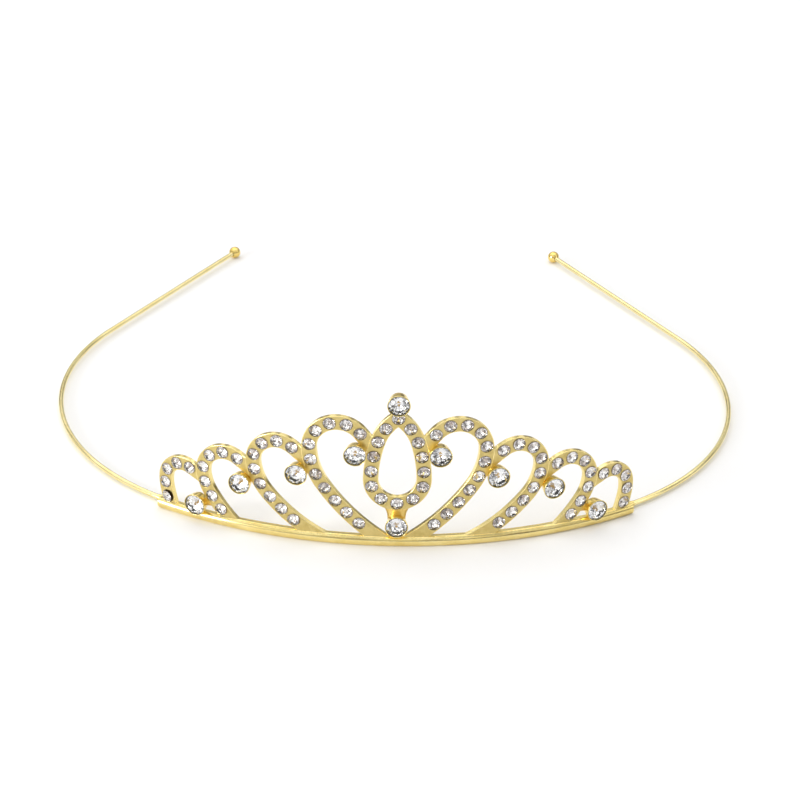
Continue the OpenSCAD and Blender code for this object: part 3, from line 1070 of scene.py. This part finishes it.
def cut_stone(shape, middle, out, across, below_share, turn):
    """Adds one round brilliant: table, stars, kites, a thin belt at its widest, and the silvered back."""
    r = across / 2
    side = sideways(out)
    up = out.cross(side)

    def ring(radius, height, start, count):
        points = []
        for i in range(count):
            a = math.radians(start + turn + 360 * i / count)
            spoke = side * math.cos(a) + up * math.sin(a)
            points.append(shape.verts.new(middle + spoke * radius + out * height))
        return points

    flat_share = math.cos(math.radians(half_step))
    top = across * crown_share
    belt = across * girdle_share
    deep = across * below_share
    star_z = belt + (top - belt) * (1 - star_share * flat_share) / (1 - table_share)
    lower_z = -deep * (1 - lower_share * flat_share)
    tables = ring(r * table_share, top, 0, facets)
    stars = ring(r * star_share, star_z, half_step, facets)
    upper = ring(r, belt, 0, 2 * facets)
    under = ring(r, 0, 0, 2 * facets)
    lowers = ring(r * lower_share, lower_z, half_step, facets)
    point = shape.verts.new(middle - out * deep)
    clear = [tables]
    silvered = []
    for i in range(facets):
        after = (i + 1) % facets
        before = (i - 1) % facets
        clear.append([tables[i], stars[i], tables[after]])
        clear.append([tables[i], stars[before], upper[2 * i], stars[i]])
        clear.append([stars[i], upper[2 * i], upper[2 * i + 1]])
        clear.append([stars[i], upper[2 * i + 1], upper[2 * after]])
        silvered.append([point, lowers[i], under[2 * i], lowers[before]])
        silvered.append([lowers[i], under[2 * i + 1], under[2 * i]])
        silvered.append([lowers[i], under[2 * after], under[2 * i + 1]])
    for i, upper_point in enumerate(upper):
        after = (i + 1) % len(upper)
        clear.append([upper_point, under[i], under[after], upper[after]])
    for faces, material in ((clear, GLASS), (silvered, FOIL)):
        for corners in faces:
            shape.faces.new(corners).material_index = material


print("faces of glass", 1 + 6 * facets, "and of foil", 3 * facets, "in each stone")

# %% [markdown]
# A setter drops each stone in its seat by hand, so no two are turned, leaned or raised alike, and the eye
# knows it. Copies of one stone would all flash together. So every stone is drawn in its place with small
# differences, which come from a fixed seed. Three of them were set badly in the photograph: the last one of
# the left-most loop sits crooked in its seat, and the last ones of the next two loops sit off their middle.

# %% Stones in their seats
stone_rise = 0.25 * mm
rise_play = 0.05
lean_play = 0.04
same_height = 0.1 * mm
off_centre = 0.12 * mm
crooked_aside = 0.2 * mm
crooked_lean = 0.2
crooked_nod = 0.08
turn_a_stone, turn_a_letter = 37, 11
hand_set = random.Random(11)


def stones_piece(node, below_share, foil):
    """All the stones of one node as one piece, each turned a little differently."""
    shape = bmesh.new()
    lowest = min(place[0].z for place in places[node])
    for i, (middle, out, across) in enumerate(places[node]):
        turn = (turn_a_stone * i + turn_a_letter * len(node)) % (2 * half_step)
        if node.startswith("pave_"):
            side = sideways(out)
            last_one = middle.z < lowest + same_height
            middle = middle + out * (stone_rise + hand_set.uniform(-rise_play, rise_play) * mm)
            lean, nod = (hand_set.uniform(-lean_play, lean_play) for _ in range(2))
            out = (out + side * lean + upward * nod).normalized()
            if node == "pave_left_4" and last_one:
                middle = middle - side * crooked_aside - upward * off_centre + out * off_centre
                out = (out - side * crooked_lean - upward * crooked_nod).normalized()
            elif node in ("pave_left_2", "pave_left_3") and last_one:
                middle = middle - side * off_centre
        cut_stone(shape, middle, out, across, below_share, turn)
    bmesh.ops.recalc_face_normals(shape, faces=shape.faces)
    mesh = bpy.data.meshes.new(node + "_cut")
    shape.to_mesh(mesh)
    shape.free()
    mesh.materials.append(glass)
    mesh.materials.append(foil)
    piece = to_scene(node + "_cut", mesh)
    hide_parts(node)
    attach(piece, "root")


small_below, large_below = 0.38, 0.36
for node in stone_nodes:
    if node.startswith("pave_"):
        stones_piece(node, small_below, worn_foil)
    else:
        stones_piece(node, large_below, bright_foil)
print("stone pieces", len(stone_nodes))

# %% [markdown]
# The object was photographed on a white sweep that shows no edge. A plane would show its corners in the views
# from low down, so the table is a wide matt disc, nearly white, which keeps the soft shadow under the wire.

# %% Table
table_r = 0.6
table_sides = 96
table_angles = [math.tau * i / table_sides for i in range(table_sides)]
table_edge = [(table_r * math.cos(a), table_r * math.sin(a), 0) for a in table_angles]
floor_mesh = bpy.data.meshes.new("table")
floor_mesh.from_pydata(table_edge, [], [list(range(table_sides))])
floor = to_scene("table", floor_mesh)
paper, _, _ = new_material("white_paper", Base_Color=(0.93, 0.93, 0.93, 1), Roughness=0.9)
floor_mesh.materials.append(paper)
print("table", 2 * table_r, "m across")

# %% [markdown]
# A catalogue photograph has soft light from a big panel overhead, and here the left side is lit more than the
# right. A point lamp would give hard glints and hard shadows, so all three lights are panels that face the
# object.

# %% Light panels
def panel(name, place, size, power):
    """A soft square light at a place, turned to the object."""
    data = bpy.data.lights.new(name, "AREA")
    data.shape = "RECTANGLE"
    data.size, data.size_y = size
    data.energy = power
    light = to_scene(name, data)
    light.location = place
    look_along(light, -Vector(place))
    print(name, power, "W, panel", size, "m")


panel("top_panel", (0, 0.25, 0.9), (1.6, 1.2), 4.2)
panel("left_panel", (-0.7, -0.45, 0.2), (0.3, 0.3), 4.0)
panel("right_panel", (0.8, -0.2, 0.3), (0.2, 0.5), 0.35)

# %% [markdown]
# Polished metal and cut stones only look alive when the room round them is uneven, because what they show is
# the room. A plain white world makes them flat and grey. So the room is a cloudy mix of white and warm brown,
# a little darker to the right and in a band just above the table's height, where a real room has its far
# wall. The camera itself sees plain white behind the table.

# %% Room
cloud_dark, cloud_light = (0.10, 0.08, 0.07, 1), (1.2, 1.2, 1.2, 1)
cloud_stops = (0.40, 0.48)
left_light, right_light = 1.1, 0.7
# Heights, from 0 straight down to 1 straight up, and how light the wall is there.
wall_bands = [(0.47, 1.0), (0.53, 0.35), (0.59, 0.35), (0.68, 1.0)]
world = bpy.data.worlds.new("room")
world.use_nodes = True
room = world.node_tree
way_in = room.nodes.new("ShaderNodeTexCoord")
clouds = add_node(room, "ShaderNodeTexNoise", Scale=6.5, Detail=1.0)
cloud_ramp = room.nodes.new("ShaderNodeValToRGB")
for stop, at, tint in zip(cloud_ramp.color_ramp.elements, cloud_stops, (cloud_dark, cloud_light)):
    stop.position = at
    stop.color = tint
axes = room.nodes.new("ShaderNodeSeparateXYZ")
across_room = add_node(room, "ShaderNodeMapRange", From_Min=-1, To_Min=left_light, To_Max=right_light)
up_room = add_node(room, "ShaderNodeMapRange", From_Min=-1)
wall_ramp = room.nodes.new("ShaderNodeValToRGB")
wall_stops = wall_ramp.color_ramp.elements
for at, grey in wall_bands:
    wall_stops.new(at).color = (grey, grey, grey, 1)
wall_stops.remove(wall_stops[-1])
wall_stops.remove(wall_stops[0])
dimmed = room.nodes.new("ShaderNodeMath")
dimmed.operation = "MULTIPLY"
shaded = room.nodes.new("ShaderNodeVectorMath")
shaded.operation = "SCALE"
for start, end in (
    (way_in.outputs["Generated"], clouds.inputs["Vector"]),
    (clouds.outputs["Fac"], cloud_ramp.inputs["Fac"]),
    (way_in.outputs["Generated"], axes.inputs["Vector"]),
    (axes.outputs["X"], across_room.inputs["Value"]),
    (axes.outputs["Z"], up_room.inputs["Value"]),
    (up_room.outputs["Result"], wall_ramp.inputs["Fac"]),
    (wall_ramp.outputs["Color"], dimmed.inputs[0]),
    (across_room.outputs["Result"], dimmed.inputs[1]),
    (cloud_ramp.outputs["Color"], shaded.inputs["Vector"]),
    (dimmed.outputs[0], shaded.inputs["Scale"]),
):
    room.links.new(start, end)
ray = room.nodes.new("ShaderNodeLightPath")
seen = add_mix(room, ray.outputs["Is Camera Ray"], shaded.outputs["Vector"], (1, 1, 1, 1))
room.links.new(seen, room.nodes["Background"].inputs["Color"])
bpy.context.scene.world = world
bpy.context.scene.view_settings.view_transform = "Standard"
print("room nodes", len(room.nodes))
